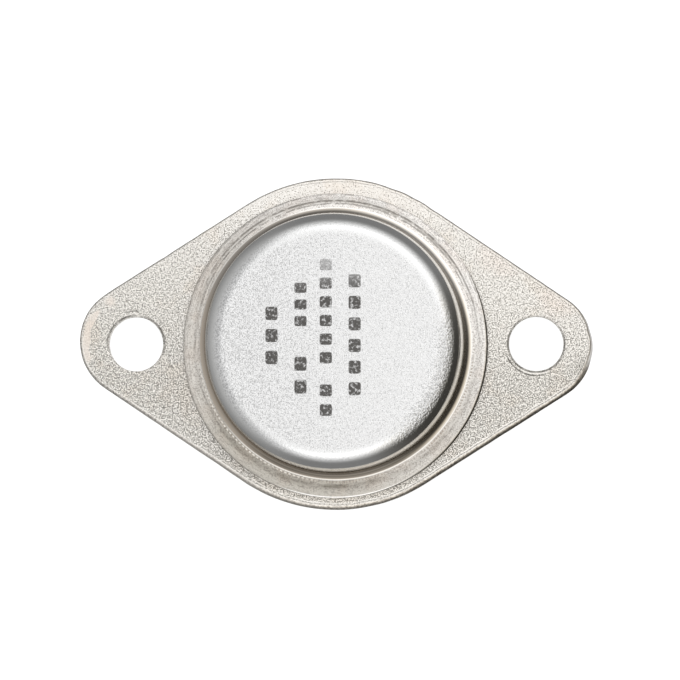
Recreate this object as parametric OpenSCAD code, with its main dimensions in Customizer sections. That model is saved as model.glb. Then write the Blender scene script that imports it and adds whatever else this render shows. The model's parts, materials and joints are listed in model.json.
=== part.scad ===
// Two-lead metal-can power transistor.
// A stamped steel header plate carries a copper heat spreader with the chip, and two
// leads sealed in glass. A drawn steel cap is welded over them.
// Origin: centre of the seating face, midway between the mounting holes.
// +X runs along the line of the mounting holes and +Z points from the seat to the cap.

/* [Cap] */
// Outside diameter of the cap's straight wall
cap_d = 19.1; // [17:0.1:23]
// Height from the seating face to the top of the cap
overall_h = 8.5; // [6.8:0.1:12]
// Sheet thickness of the cap
cap_sheet_t = 0.5; // [0.3:0.05:0.7]
// Outside radius of the rounded edge round the cap's top
cap_corner_r = 1.25; // [0.9:0.05:2]
// Width of the welded brim, from the wall outward
brim_w = 1.9; // [1.4:0.1:3]
// Thickness of the welded brim
brim_t = 0.85; // [0.5:0.05:1.2]
// Radius of the fillet between the wall and the brim
brim_fillet_r = 0.55; // [0.3:0.05:0.8]
// Radius of the brim's outer top edge
brim_edge_r = 0.12; // [0.05:0.01:0.2]

/* [Header plate] */
// Thickness of the plate
plate_t = 1.55; // [1.2:0.05:2.2]
// Width of plate left showing outside the brim at the middle
plate_margin = 1.05; // [0.4:0.05:3]
// Distance between the centres of the mounting holes
hole_pitch = 30.15; // [29:0.05:38]
// Diameter of each mounting hole
hole_d = 4.1; // [3:0.05:5]
// Width of plate round the outside of each mounting hole
hole_wall = 2.21; // [1.5:0.01:3]
// Width of the bevel along the plate's top edge
plate_bevel = 0.2; // [0.1:0.01:0.4]
// Width of the bevel round the top of each mounting hole
hole_bevel = 0.12; // [0.05:0.01:0.25]

/* [Leads] */
// Distance between the two leads
lead_pitch = 10.92; // [9.5:0.02:13.2]
// Distance from the middle of the plate to the line of the leads
lead_offset = 1.815; // [0:0.005:2.2]
// Diameter of the bare lead where it passes through the glass
lead_d = 0.97; // [0.8:0.01:1.2]
// Thickness of the solder coat dipped onto the free end of the lead
lead_coat_t = 0.025; // [0.01:0.005:0.05]
// Length of lead below the seating face
lead_len = 11.6; // [8:0.1:14]
// Length of lead left bare between the seating face and the solder coat
lead_bare_len = 0.5; // [0.2:0.1:2]
// Length over which the solder coat thickens below the bare stretch
lead_taper_len = 0.6; // [0.55:0.05:1]
// Width of the bevel round the free end of the lead
lead_tip_w = 0.2; // [0.1:0.05:0.35]
// Diameter of the flat head that the bond wires land on
lead_head_d = 1.9; // [1.6:0.1:2.4]
// Thickness of that head
lead_head_t = 0.35; // [0.2:0.05:0.6]
// Height of the head's top above the plate
lead_head_rise = 1.3; // [0.8:0.1:2]

/* [Glass seals] */
// Diameter of the hole in the plate that each glass seal fills
seal_d = 3.3; // [2.6:0.1:3.8]
// Depth of the seal's rim below each face of the plate
seal_recess = 0.08; // [0.02:0.01:0.2]
// Depth of the hollow that the glass surface draws down to
seal_meniscus = 0.12; // [0.05:0.01:0.2]

/* [Chip and heat spreader] */
// Length of the copper heat spreader, across the line of the leads
spreader_len = 9; // [6:0.1:11]
// Thickness of the copper heat spreader
spreader_t = 0.9; // [0.5:0.1:1.5]
// Radius of the spreader's corners
spreader_corner_r = 1.2; // [0.5:0.1:2]
// Gap between the heat spreader and each glass seal
spreader_gap = 0.3; // [0.1:0.05:0.8]
// Distance from the middle of the plate to the middle of the spreader
spreader_offset = 1.2; // [0:0.1:2]
// Thickness of each solder layer
solder_t = 0.08; // [0.04:0.01:0.15]
// Side of the square silicon chip
chip_w = 4.4; // [2.5:0.1:5.2]
// Thickness of the silicon chip
chip_t = 0.28; // [0.2:0.01:0.4]
// Width of solder that shows round the chip
solder_margin = 0.25; // [0.1:0.05:0.5]

/* [Bond wires] */
// Diameter of the aluminium bond wire
wire_d = 0.38; // [0.25:0.01:0.5]
// Height of each wire's arch above the line between its ends
wire_arch = 1.3; // [0.8:0.1:1.8]
// Length of the flattened foot at each end of a wire
foot_len = 0.7; // [0.5:0.05:0.9]
// How far the foot spreads out past each side of the wire
foot_spread = 0.06; // [0.03:0.01:0.1]
// Thickness of the foot, as a share of the wire's diameter
foot_squash = 0.85; // [0.8:0.01:0.95]
// Gap between the feet of the two emitter wires on the lead head
foot_gap = 0.25; // [0.1:0.05:0.4]

/* [Hidden] */
$fn = 96;

// Cut-outs run this far past the faces they open
past = 1;

// Cap, measured from the plate's top face
cap_r = cap_d / 2;
cap_h = overall_h - plate_t;
brim_r = cap_r + brim_w;

// Header plate: a wide middle and a lobe round each mounting hole
plate_r = brim_r + plate_margin;
hole_x = hole_pitch / 2;
hole_r = hole_d / 2;
lobe_r = hole_r + hole_wall;
// Slope of the straight edges that run from the middle to the lobes, and their length
edge_slope = asin((plate_r - lobe_r) / hole_x);
edge_len = hole_x * cos(edge_slope);
// The straight edges lie this far inside the arcs, so that each crosses its arc cleanly
edge_bite = 0.002;
// The flat middle of the plate stops this far short of the edge
core_inset = 2 * plate_bevel;

// Leads: the base lead is on the +Y side and the emitter lead on the -Y side
lead_x = -lead_offset;
lead_y = lead_pitch / 2;
lead_r = lead_d / 2;
coat_r = lead_r + lead_coat_t;
head_top_z = plate_t + lead_head_rise;

// Glass seals
seal_r = seal_d / 2;
seal_w = seal_r - lead_r;
meniscus_r = (seal_w * seal_w / 4 + seal_meniscus * seal_meniscus) / (2 * seal_meniscus);

// Chip stack, from the plate's top face upward
spreader_w = lead_pitch - seal_d - 2 * spreader_gap;
spreader_z = plate_t + solder_t;
chip_solder_z = spreader_z + spreader_t;
chip_z = chip_solder_z + solder_t;
chip_top_z = chip_z + chip_t;
solder_w = chip_w + 2 * solder_margin;

// Bond wires: each one lands on the chip at a share of the chip's width from its middle
wire_r = wire_d / 2;
foot_w = wire_d + 2 * foot_spread;
foot_t = wire_d * foot_squash;
foot_pitch = foot_w + foot_gap;
base_pad = [spreader_offset - chip_w * 0.3, chip_w * 0.32];
emitter_pads = [[spreader_offset - chip_w * 0.22, -chip_w * 0.2],
    [spreader_offset + chip_w * 0.14, -chip_w * 0.28]];

// A rectangle from x = 0 out to w and up to h, whose top outer corner is rounded
module rounded_section(w, h, r) {
    square([w, h - r]);
    square([w - r, h]);
    translate([w - r, h - r]) circle(r);
}

// The plate's section from x = 0 out to w, with the bevel at its top outer corner
module bevelled_section(w) {
    polygon([[0, 0], [w, 0], [w, plate_t - plate_bevel], [w - plate_bevel, plate_t],
        [0, plate_t]]);
}

// A straight stretch of the plate's edge, in a frame turned so that the edge lies along X
module edge_bar() {
    bar_w = 2 * core_inset;
    translate([0, plate_r - bar_w - edge_bite, 0]) rotate([90, 0, 90])
        linear_extrude(edge_len) bevelled_section(bar_w);
}

// The flat middle of the plate, between the middle disc and the lobes
module plate_core() {
    tilt = [sin(edge_slope), cos(edge_slope)];
    middle = (plate_r - core_inset) * tilt;
    lobe = [hole_x, 0] + (lobe_r - core_inset) * tilt;
    linear_extrude(plate_t) polygon([middle, lobe, [lobe.x, -lobe.y], [middle.x, -middle.y],
        -middle, -lobe, [-lobe.x, lobe.y], [-middle.x, middle.y]]);
}

module plate_blank() {
    rotate_extrude() bevelled_section(plate_r);
    for (side = [-1, 1])
        translate([side * hole_x, 0, 0]) rotate_extrude() bevelled_section(lobe_r);
    for (flip_x = [0, 1], flip_y = [0, 1])
        mirror([flip_x, 0, 0]) mirror([0, flip_y, 0]) rotate([0, 0, -edge_slope]) edge_bar();
    plate_core();
}

module mounting_hole() {
    translate([0, 0, -past]) cylinder(h = plate_t + 2 * past, r = hole_r);
    translate([0, 0, plate_t - hole_bevel])
        cylinder(h = 2 * hole_bevel, r1 = hole_r, r2 = hole_r + 2 * hole_bevel);
}

module header_plate() {
    color([0.80, 0.79, 0.77]) difference() {
        plate_blank();
        for (side = [-1, 1])
            translate([side * hole_x, 0, 0]) mounting_hole();
        for (side = [-1, 1])
            translate([lead_x, side * lead_y, -past])
                cylinder(h = plate_t + 2 * past, r = seal_r);
    }
}

// Half of the cap's outer section: brim, fillet, wall and rounded top edge
module cap_outer_section() {
    rounded_section(brim_r, brim_t, brim_edge_r);
    rounded_section(cap_r, cap_h, cap_corner_r);
    difference() {
        square([cap_r + brim_fillet_r, brim_t + brim_fillet_r]);
        translate([cap_r + brim_fillet_r, brim_t + brim_fillet_r]) circle(brim_fillet_r);
    }
}

// Half of the cap's hollow, with the bend at its mouth
module cap_inner_section() {
    inner_r = cap_r - cap_sheet_t;
    translate([0, -past])
        rounded_section(inner_r, cap_h - cap_sheet_t + past, cap_corner_r - cap_sheet_t);
    difference() {
        square([inner_r + brim_edge_r, brim_edge_r]);
        translate([inner_r + brim_edge_r, brim_edge_r]) circle(brim_edge_r);
    }
}

module cap() {
    color([0.88, 0.88, 0.88]) translate([0, 0, plate_t]) rotate_extrude() difference() {
        cap_outer_section();
        cap_inner_section();
    }
}

// A lead stands on the origin of its own axis, with the seating face at z = 0.
// It's one turned shape: flat head, bare shank, tapering start of the solder coat, and the
// coated end.
module lead() {
    head_r = lead_head_d / 2;
    neck_z = head_top_z - lead_head_t;
    coat_z = -lead_bare_len - lead_taper_len;
    rotate_extrude() polygon([[0, head_top_z], [head_r, head_top_z], [head_r, neck_z],
        [lead_r, neck_z], [lead_r, -lead_bare_len], [coat_r, coat_z],
        [coat_r, lead_tip_w - lead_len], [coat_r - lead_tip_w, -lead_len], [0, -lead_len]]);
}

module base_lead() {
    color([0.75, 0.75, 0.74]) translate([lead_x, lead_y, 0]) lead();
}

module emitter_lead() {
    color([0.75, 0.75, 0.74]) translate([lead_x, -lead_y, 0]) lead();
}

// A bead of glass round a lead, with a hollow meniscus on each face
module glass_seal() {
    low = seal_recess;
    high = plate_t - seal_recess;
    rotate_extrude() difference() {
        translate([lead_r, low]) square([seal_w, high - low]);
        for (face = [low + seal_meniscus - meniscus_r, high - seal_meniscus + meniscus_r])
            translate([lead_r + seal_w / 2, face]) circle(meniscus_r);
    }
}

module base_glass_seal() {
    color([0.25, 0.35, 0.33]) translate([lead_x, lead_y, 0]) glass_seal();
}

module emitter_glass_seal() {
    color([0.25, 0.35, 0.33]) translate([lead_x, -lead_y, 0]) glass_seal();
}

// A slab with round corners, centred on the spreader's middle
module rounded_slab(length, width, thickness, r) {
    linear_extrude(thickness) {
        square([length - 2 * r, width], center = true);
        square([length, width - 2 * r], center = true);
        for (sx = [-1, 1], sy = [-1, 1])
            translate([sx * (length / 2 - r), sy * (width / 2 - r)]) circle(r);
    }
}

module spreader_solder() {
    color([0.70, 0.70, 0.72]) translate([spreader_offset, 0, plate_t])
        rounded_slab(spreader_len, spreader_w, solder_t, spreader_corner_r);
}

module heat_spreader() {
    color([0.80, 0.50, 0.36]) translate([spreader_offset, 0, spreader_z])
        rounded_slab(spreader_len, spreader_w, spreader_t, spreader_corner_r);
}

module chip_solder() {
    color([0.70, 0.70, 0.72]) translate([spreader_offset, 0, chip_solder_z])
        rounded_slab(solder_w, solder_w, solder_t, solder_margin);
}

module silicon_chip() {
    color([0.35, 0.37, 0.42]) translate([spreader_offset - chip_w / 2, -chip_w / 2, chip_z])
        cube([chip_w, chip_w, chip_t]);
}

// A wire arches in one circular arc from a point on the chip to a point on a lead head.
// Both ends are [x, y], and each lands on a flattened foot.
module bond_wire(chip_end, lead_end) {
    run = lead_end - chip_end;
    span = norm(run);
    rise = head_top_z - chip_top_z;
    chord = norm([span, rise]);
    lean = atan2(rise, span);
    arc_r = (chord * chord / 4 + wire_arch * wire_arch) / (2 * wire_arch);
    half_arc = asin(chord / 2 / arc_r);
    drop = arc_r - wire_arch;
    translate([chip_end.x, chip_end.y, chip_top_z]) rotate([0, 0, atan2(run.y, run.x)]) {
        translate([span / 2 + drop * sin(lean), 0, wire_r + rise / 2 - drop * cos(lean)])
            rotate([90, 0, 0]) rotate([0, 0, 90 + lean - half_arc])
                rotate_extrude(angle = 2 * half_arc) translate([arc_r, 0]) circle(wire_r);
        for (end = [[0, 0], [span, rise]])
            translate([end.x - foot_len / 2, -foot_w / 2, end.y])
                cube([foot_len, foot_w, foot_t]);
    }
}

module base_bond_wire() {
    color([0.85, 0.85, 0.86]) bond_wire(base_pad, [lead_x, lead_y]);
}

module emitter_bond_wire(index) {
    color([0.85, 0.85, 0.86])
        bond_wire(emitter_pads[index], [lead_x + (index - 0.5) * foot_pitch, -lead_y]);
}

header_plate();
cap();
base_lead();
emitter_lead();
base_glass_seal();
emitter_glass_seal();
heat_spreader();
spreader_solder();
chip_solder();
silicon_chip();
base_bond_wire();
emitter_bond_wire(0);  // emitter_bond_wire_1
emitter_bond_wire(1);  // emitter_bond_wire_2
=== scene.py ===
# Looks for a metal-can power transistor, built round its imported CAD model.
# Lengths are in metres in the frame of the part: the seating face is z = 0, the line of the
# mounting holes is X and the can stands up along +Z. Shader sizes are in millimetres.

import json
import math

import bmesh
import bpy
import numpy as np
from mathutils import Matrix, Vector, noise
from mathutils.geometry import delaunay_2d_cdt


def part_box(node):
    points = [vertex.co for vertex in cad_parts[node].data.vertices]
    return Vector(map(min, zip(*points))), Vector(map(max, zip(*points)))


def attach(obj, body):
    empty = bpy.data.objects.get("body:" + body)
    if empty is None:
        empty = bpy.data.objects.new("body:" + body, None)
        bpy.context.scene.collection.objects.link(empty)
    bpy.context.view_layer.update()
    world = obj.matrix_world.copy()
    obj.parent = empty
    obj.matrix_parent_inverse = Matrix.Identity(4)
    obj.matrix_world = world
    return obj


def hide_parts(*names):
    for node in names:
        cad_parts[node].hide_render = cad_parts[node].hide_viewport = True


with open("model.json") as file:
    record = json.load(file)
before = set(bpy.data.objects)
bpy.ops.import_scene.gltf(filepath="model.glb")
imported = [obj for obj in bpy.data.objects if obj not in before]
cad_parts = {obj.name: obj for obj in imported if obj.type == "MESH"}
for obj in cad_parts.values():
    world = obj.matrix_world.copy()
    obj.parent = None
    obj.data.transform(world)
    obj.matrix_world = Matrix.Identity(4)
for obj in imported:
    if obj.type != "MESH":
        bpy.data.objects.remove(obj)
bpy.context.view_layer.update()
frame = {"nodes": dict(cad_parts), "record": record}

MM = 0.001
TURN = 2 * math.pi
QUARTER = math.pi / 2

# ---- sizes from the frame ----

mounts = {mount["name"]: mount for mount in frame["record"]["mounts"]}
_, plate_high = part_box("header_plate")
_, cap_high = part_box("cap")
lead_low, lead_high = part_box("base_lead")
seal_low, seal_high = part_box("base_glass_seal")

PLATE_T = plate_high.z
PLATE_R = plate_high.y
HOLE_X = mounts["screw_hole_right"]["pos_m"][0]
HOLE_R = mounts["screw_hole_right"]["dims"]["r_mm"] * MM
LOBE_R = plate_high.x - HOLE_X
LEAD_X = (lead_low.x + lead_high.x) / 2
LEAD_Y = (lead_low.y + lead_high.y) / 2
SEAL_R = (seal_high.x - seal_low.x) / 2
COAT_R = mounts["base_lead_end"]["dims"]["r_mm"] * MM
HEAD_R = (lead_high.x - lead_low.x) / 2
HEAD_Z = lead_high.z
LEAD_END = lead_low.z
BRIM_R = cap_high.x
CAN_TOP = cap_high.z

# ---- sizes of the details ----

# The plate's top edge is rolled over: how far in, and how many times as far down
ROLL_MIN = 0.14 * MM
ROLL_MAX = 0.28 * MM
ROLL_DEPTH = 1.5
HOLE_BEVEL = 0.05 * MM
# The can's radius at its top, and how much its wall leans in there and at its foot
CAN_R = 9.505 * MM
TOP_DRAFT = math.radians(6.5)
FOOT_DRAFT = math.radians(1.0)
SHEET_T = 0.5 * MM
CORNER_R = 1.25 * MM
BRIM_Z = PLATE_T + 0.85 * MM
FILLET_R = 0.55 * MM
BRIM_EDGE_MAX = 0.2 * MM
# The drawn can and the brim's outer edge, with its weld marks, lie a little off the plate's middle
CAN_SHIFT = (-0.025 * MM, 0.05 * MM)
BRIM_SHIFT = (0.0, -0.155 * MM)
# A lead without its coat of solder, the height below which it's coated, and its flat head
BARE_R = 0.485 * MM
COAT_TOP = -1.0 * MM
HEAD_T = 0.35 * MM


# ---- meshes ----

def add_object(name, data):
    """A new object in the scene."""
    made = bpy.data.objects.new(name, data)
    bpy.context.scene.collection.objects.link(made)
    return made


class Shell:
    """Collects the rows of points and the faces of one closed mesh."""

    def __init__(self):
        self.points = []
        self.faces = []
        self.marks = []

    def row(self, points, marks=None):
        """Adds a row of points and returns their numbers. A mark is a value for the shader."""
        first = len(self.points)
        self.points += [tuple(point) for point in points]
        self.marks += list(marks) if marks is not None else [1.0] * (len(self.points) - first)
        return list(range(first, len(self.points)))

    def band(self, lower, upper):
        """Joins two closed rows of the same length with quads."""
        for i, number in enumerate(lower):
            after = (i + 1) % len(lower)
            self.faces.append((number, lower[after], upper[after], upper[i]))

    def bands(self, rows):
        for lower, upper in zip(rows, rows[1:]):
            self.band(lower, upper)

    def cone(self, row, tip):
        """Joins a closed row to a single point."""
        for i, number in enumerate(row):
            self.faces.append((number, row[(i + 1) % len(row)], tip))

    def piece(self, name, sharp_angle=40):
        """The mesh object, smooth shaded apart from edges that turn by more than the angle."""
        mesh = bpy.data.meshes.new(name)
        mesh.from_pydata(self.points, [], self.faces)
        work = bmesh.new()
        work.from_mesh(mesh)
        bmesh.ops.recalc_face_normals(work, faces=work.faces)
        work.to_mesh(mesh)
        work.free()
        mesh.shade_smooth()
        mesh.set_sharp_from_angle(angle=math.radians(sharp_angle))
        marks = mesh.attributes.new("mark", "FLOAT", "POINT")
        marks.data.foreach_set("value", self.marks)
        return add_object(name, mesh)


def quarter_turn(steps):
    """Angles from 0 to a quarter turn."""
    return [QUARTER * i / steps for i in range(steps + 1)]


def smooth(value, low, high):
    """0 below low, 1 above high, and a smooth change between them."""
    share = min(1.0, max(0.0, (value - low) / (high - low)))
    return share * share * (3 - 2 * share)


def ripple(x, y, z=0.0, size=1.0 * MM):
    """Smooth noise from -1 to 1 whose bumps are about one size across."""
    return noise.noise(Vector((x, y, z)) / size)


# ---- header plate ----

# The plate was cut out turned a little against its holes
OUTLINE_TURN = math.radians(-0.8)
EDGE_SLOPE = math.asin((PLATE_R - LOBE_R) / HOLE_X)
EDGE_LEN = HOLE_X * math.cos(EDGE_SLOPE)
OUTLINE_STEP = 0.2 * MM
FILL_STEP = 0.45 * MM
# How far inside the outline the points that fill the flat faces stay
BOTTOM_FILL = 0.1 * MM
TOP_FILL = ROLL_MAX + 0.5 * MM
BOLT_SEGMENTS = 96
SEAL_SEGMENTS = 72
# The lists below are in millimetres.
# The sheared side from the seating face up: how far in and how high each row of points is
SHEARED_SIDE = [(0.05, 0), (0.015, 0.03), (0.03, 0.4), (0.005, 0.6), (0, 0.8)]
# Rows of points on the flat top, by how far past the rolled edge they are
ROWS_PAST_ROLL = [0.05, 0.11, 0.18, 0.26, 0.36]
# Where the rolled edge is widest, and how far that reaches
WIDE_ROLL = (18.8, -2.2, 1.5)
# Dents along the edge: where, how wide and how deep
NICKS = [(4.3, 12.0, 0.7, 0.05), (5.9, 11.2, 0.4, 0.03), (7.3, 10.3, 0.5, 0.03),
         (-17.6, 3.4, 0.5, 0.03), (12.4, -7.1, 0.5, 0.03), (-9.2, -9.2, 0.6, 0.03),
         (2.5, -12.4, 0.6, 0.03), (19.2, 0.9, 0.5, 0.05), (-12.8, 6.6, 0.4, 0.03),
         (19.1, -1.2, 0.5, 0.04)]


def plate_outline():
    """Points along the plate's edge, counterclockwise from the right lobe, and their normals."""
    arcs = [(HOLE_X, LOBE_R, EDGE_SLOPE - QUARTER, QUARTER - EDGE_SLOPE),
            (0, PLATE_R, QUARTER - EDGE_SLOPE, QUARTER + EDGE_SLOPE),
            (-HOLE_X, LOBE_R, QUARTER + EDGE_SLOPE, 3 * QUARTER - EDGE_SLOPE),
            (0, PLATE_R, 3 * QUARTER - EDGE_SLOPE, 3 * QUARTER + EDGE_SLOPE)]
    steps = round(EDGE_LEN / OUTLINE_STEP)
    points = []
    normals = []
    for middle, radius, start, end in arcs:
        for turn in np.linspace(start, end, round(radius * (end - start) / OUTLINE_STEP) + 1):
            normals.append((math.cos(turn), math.sin(turn)))
            points.append((middle + radius * math.cos(turn), radius * math.sin(turn)))
        corner = points[-1]
        for i in range(1, steps):
            run = EDGE_LEN * i / steps
            normals.append(normals[-1])
            points.append((corner[0] - run * math.sin(end), corner[1] + run * math.cos(end)))
    turned = np.array([[math.cos(OUTLINE_TURN), math.sin(OUTLINE_TURN)],
                       [-math.sin(OUTLINE_TURN), math.cos(OUTLINE_TURN)]])
    return np.array(points) @ turned, np.array(normals) @ turned


def edge_depth(x, y):
    """How far inside the plate's outline a point is."""
    x, y = (abs(x * math.cos(OUTLINE_TURN) + y * math.sin(OUTLINE_TURN)),
            abs(y * math.cos(OUTLINE_TURN) - x * math.sin(OUTLINE_TURN)))
    along = x * math.cos(EDGE_SLOPE) - y * math.sin(EDGE_SLOPE)
    if along < 0:
        return PLATE_R - math.hypot(x, y)
    if along > EDGE_LEN:
        return LOBE_R - math.hypot(x - HOLE_X, y)
    return PLATE_R - x * math.sin(EDGE_SLOPE) - y * math.cos(EDGE_SLOPE)


def edge_wear(x, y):
    """How far the plate's edge is pushed in at a point: uneven shearing, and dents."""
    wear = 0.012 * MM * (1 + ripple(x, y, 0, 0.8 * MM))
    for nick_x, nick_y, width, depth in NICKS:
        away = math.hypot(x / MM - nick_x, y / MM - nick_y) / width
        wear += depth * MM * math.exp(-away * away)
    return wear


def circle(x, y, radius, count):
    """Points round a circle."""
    turns = np.linspace(0, TURN, count, endpoint=False)
    return np.column_stack([x + radius * np.cos(turns), y + radius * np.sin(turns)])


def fill_points(outer_depth, holes):
    """A grid of points that keeps this far inside the outline and clear of the round holes."""
    row_step = FILL_STEP * math.sqrt(0.75)
    rows = int(PLATE_R / row_step)
    columns = int(plate_high.x / FILL_STEP) + 1
    clear = FILL_STEP * 0.6
    kept = []
    for j in range(-rows, rows + 1):
        for i in range(-columns, columns + 1):
            x = (i + 0.5 * (j % 2)) * FILL_STEP
            y = j * row_step
            free = all(math.hypot(x - hx, y - hy) > r + clear for hx, hy, r in holes)
            if free and edge_depth(x, y) > outer_depth + clear:
                kept.append((x, y))
    return kept


def fill_plate(shell, outer_row, hole_rows, holes, outer_depth, height):
    """Closes the plate's flat face between its outer row and the rows round its holes."""
    rows = [outer_row, *hole_rows]
    edges = []
    fixed = []
    owner = {}
    for row in rows:
        first = len(fixed)
        edges += [(first + i, first + (i + 1) % len(row)) for i in range(len(row))]
        fixed += row
        owner.update((number, row[0]) for number in row)
    grid = shell.row((x, y, height(x, y)) for x, y in fill_points(outer_depth, holes))
    numbers = fixed + grid
    flat = [Vector(shell.points[number][:2]) / MM for number in numbers]
    _, _, faces, origins, _, _ = delaunay_2d_cdt(flat, edges, [], 1, 1e-6)
    hole_owners = {row[0] for row in hole_rows}
    for face in faces:
        corners = [numbers[origins[i][0]] for i in face]
        owners = {owner.get(number) for number in corners}
        in_hole = len(owners) == 1 and owners <= hole_owners
        if not in_hole:
            shell.faces.append(tuple(corners))


def top_height(x, y):
    """The plate's top, very slightly uneven outside the can's brim."""
    return PLATE_T - 0.008 * MM * (1 + ripple(x, y, 5, 3 * MM)) * (math.hypot(x, y) > BRIM_R)


def roll_width(x, y):
    """The stamping rolled the plate's top edge over more on its front side, and its right end
    is worn."""
    front = smooth(0.1 * x / plate_high.x - y / PLATE_R, -0.3, 0.6)
    uneven = 1 + 0.2 * ripple(x, y, 9, 1.2 * MM)
    worn_x, worn_y, reach = WIDE_ROLL
    worn_end = math.exp(-(math.hypot(x / MM - worn_x, y / MM - worn_y) / reach) ** 2)
    return (ROLL_MIN + (ROLL_MAX - ROLL_MIN) * front) * uneven + 0.10 * MM * worn_end


def plate_edge(shell):
    """Rows of points up the sheared side and over the rolled edge. Their marks say how far
    past the rolled edge a point is, in millimetres."""
    outline, normals = plate_outline()
    wear = np.array([edge_wear(x, y) for x, y in outline])
    roll = np.array([roll_width(x, y) for x, y in outline])
    all_round = np.ones(len(outline))
    rows = []

    def add_row(inset, height):
        worn = wear * (0.3 + 0.7 * height / PLATE_T)
        ring = outline - normals * (inset + worn)[:, None]
        points = [(x, y, z) for (x, y), z in zip(ring, height)]
        rows.append(shell.row(points, (inset - roll) / MM))

    for inset, height in SHEARED_SIDE:
        add_row(inset * MM * all_round, height * MM * all_round)
    for a in quarter_turn(8):
        add_row(roll * (1 - math.cos(a)), PLATE_T - ROLL_DEPTH * roll * (1 - math.sin(a)))
    for past in ROWS_PAST_ROLL:
        add_row(roll + past * MM, PLATE_T * all_round)
    shell.bands(rows)
    return rows


def bolt_hole(shell, x):
    """Rows of points up a mounting hole, bevelled below and rounded at its top."""
    profile = [(HOLE_R + HOLE_BEVEL, 0), (HOLE_R, HOLE_BEVEL), (HOLE_R, PLATE_T / 2)]
    profile += [(HOLE_R + HOLE_BEVEL * (1 - math.cos(a)), PLATE_T - HOLE_BEVEL * (1 - math.sin(a)))
                for a in quarter_turn(5)]
    rows = [shell.row((*point, height) for point in circle(x, 0, radius, BOLT_SEGMENTS))
            for radius, height in profile]
    shell.bands(rows)
    return rows


def seal_hole(shell, y):
    """Rows of points up the plain hole round a glass seal."""
    rows = [shell.row((*point, height) for point in circle(LEAD_X, y, SEAL_R, SEAL_SEGMENTS))
            for height in (0, PLATE_T)]
    shell.bands(rows)
    return rows


def make_plate():
    """The stamped plate, with two mounting holes and two seal holes."""
    shell = Shell()
    edge = plate_edge(shell)
    holes = [bolt_hole(shell, x) for x in (-HOLE_X, HOLE_X)]
    holes += [seal_hole(shell, y) for y in (-LEAD_Y, LEAD_Y)]
    circles = [(x, 0, HOLE_R + HOLE_BEVEL) for x in (-HOLE_X, HOLE_X)]
    circles += [(LEAD_X, y, SEAL_R) for y in (-LEAD_Y, LEAD_Y)]
    fill_plate(shell, edge[0], [hole[0] for hole in holes], circles, BOTTOM_FILL, lambda x, y: 0.0)
    fill_plate(shell, edge[-1], [hole[-1] for hole in holes], circles, TOP_FILL, top_height)
    return shell.piece("plate")


# ---- can ----

CAN_SEGMENTS = 540
BRIM_ROWS = 32
# Radii of the marks that the welding electrode pressed into the brim, in millimetres
GROOVE_R = 10.66
PRESSED_RINGS = (10.57, 10.74, 10.99)


def can_outer_profile():
    """(radius, height) from the brim's flat top inward, up over the fillet, the wall, which
    leans in more toward its top, and the rounded top."""
    corner = (CAN_R - CORNER_R, CAN_TOP - CORNER_R)
    wall_top = (corner[0] + CORNER_R * math.cos(TOP_DRAFT),
                corner[1] + CORNER_R * math.sin(TOP_DRAFT))
    wall_h = wall_top[1] - BRIM_Z - FILLET_R * (1 - math.sin(FOOT_DRAFT))
    lean = math.tan(TOP_DRAFT) - math.tan(FOOT_DRAFT)
    wall = []
    for share in np.linspace(1, 0, 9):
        spread = math.tan(FOOT_DRAFT) * share + lean * (1 - (1 - share) ** 3) / 3
        wall.append((wall_top[0] + wall_h * spread, wall_top[1] - wall_h * share))
    middle = wall[0][0] + FILLET_R * math.cos(FOOT_DRAFT)
    profile = [(r, BRIM_Z)
               for r in np.linspace(BRIM_R - BRIM_EDGE_MAX, middle, BRIM_ROWS + 2)[1:-1]]
    profile += [(middle - FILLET_R * math.sin(a), BRIM_Z + FILLET_R * (1 - math.cos(a)))
                for a in np.linspace(0, QUARTER - FOOT_DRAFT, 11)]
    profile += wall[1:-1]
    profile += [(corner[0] + CORNER_R * math.cos(a), corner[1] + CORNER_R * math.sin(a))
                for a in np.linspace(TOP_DRAFT, QUARTER, 17)]
    profile += [(corner[0] * share, CAN_TOP) for share in (0.97, 0.92, 0.85, 0.7, 0.5, 0.25)]
    return profile


def can_inner_profile():
    """(radius, height) of the hollow, from its mouth to near the middle of its ceiling."""
    inner_r = CAN_R - SHEET_T
    corner_r = CORNER_R - SHEET_T
    corner = (inner_r - corner_r, CAN_TOP - SHEET_T - corner_r)
    profile = [(inner_r + 0.12 * MM, PLATE_T), (inner_r + 0.03 * MM, PLATE_T + 0.03 * MM),
               (inner_r, PLATE_T + 0.12 * MM), (inner_r, (PLATE_T + corner[1]) / 2)]
    profile += [(corner[0] + corner_r * math.cos(a), corner[1] + corner_r * math.sin(a))
                for a in quarter_turn(6)]
    profile += [(corner[0] * share, CAN_TOP - SHEET_T) for share in (0.6, 0.2)]
    return profile


def groove(r, middle, width):
    """A smooth dip from 0 to 1 and back, centred on one radius."""
    away = (r / MM - middle) / width
    return math.exp(-away * away)


def brim_relief(r, turn):
    """Height that the electrode's marks add to the brim."""
    x = math.cos(turn)
    y = math.sin(turn)
    patchy = 0.5 + 0.5 * ripple(x, y, 1, 0.25)
    upper = max(0.0, y)
    height = -0.014 * groove(r, GROOVE_R, 0.24) * (0.6 + 0.8 * patchy)
    for middle in PRESSED_RINGS:
        height -= 0.008 * upper * patchy * groove(r, middle, 0.05)
    height += 0.005 * ripple(x * 3, y * 3, r / MM * 4, 0.4)
    return height * MM


def brim_edge(turn):
    """Radius of the brim's rounded edge, which is worn more on the right and front."""
    worn = smooth(math.cos(turn + math.radians(25)), 0.5, 0.95)
    return (0.045 + 0.03 * smooth(-math.cos(turn), 0.0, 0.5)) * MM + 0.15 * MM * worn


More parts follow.
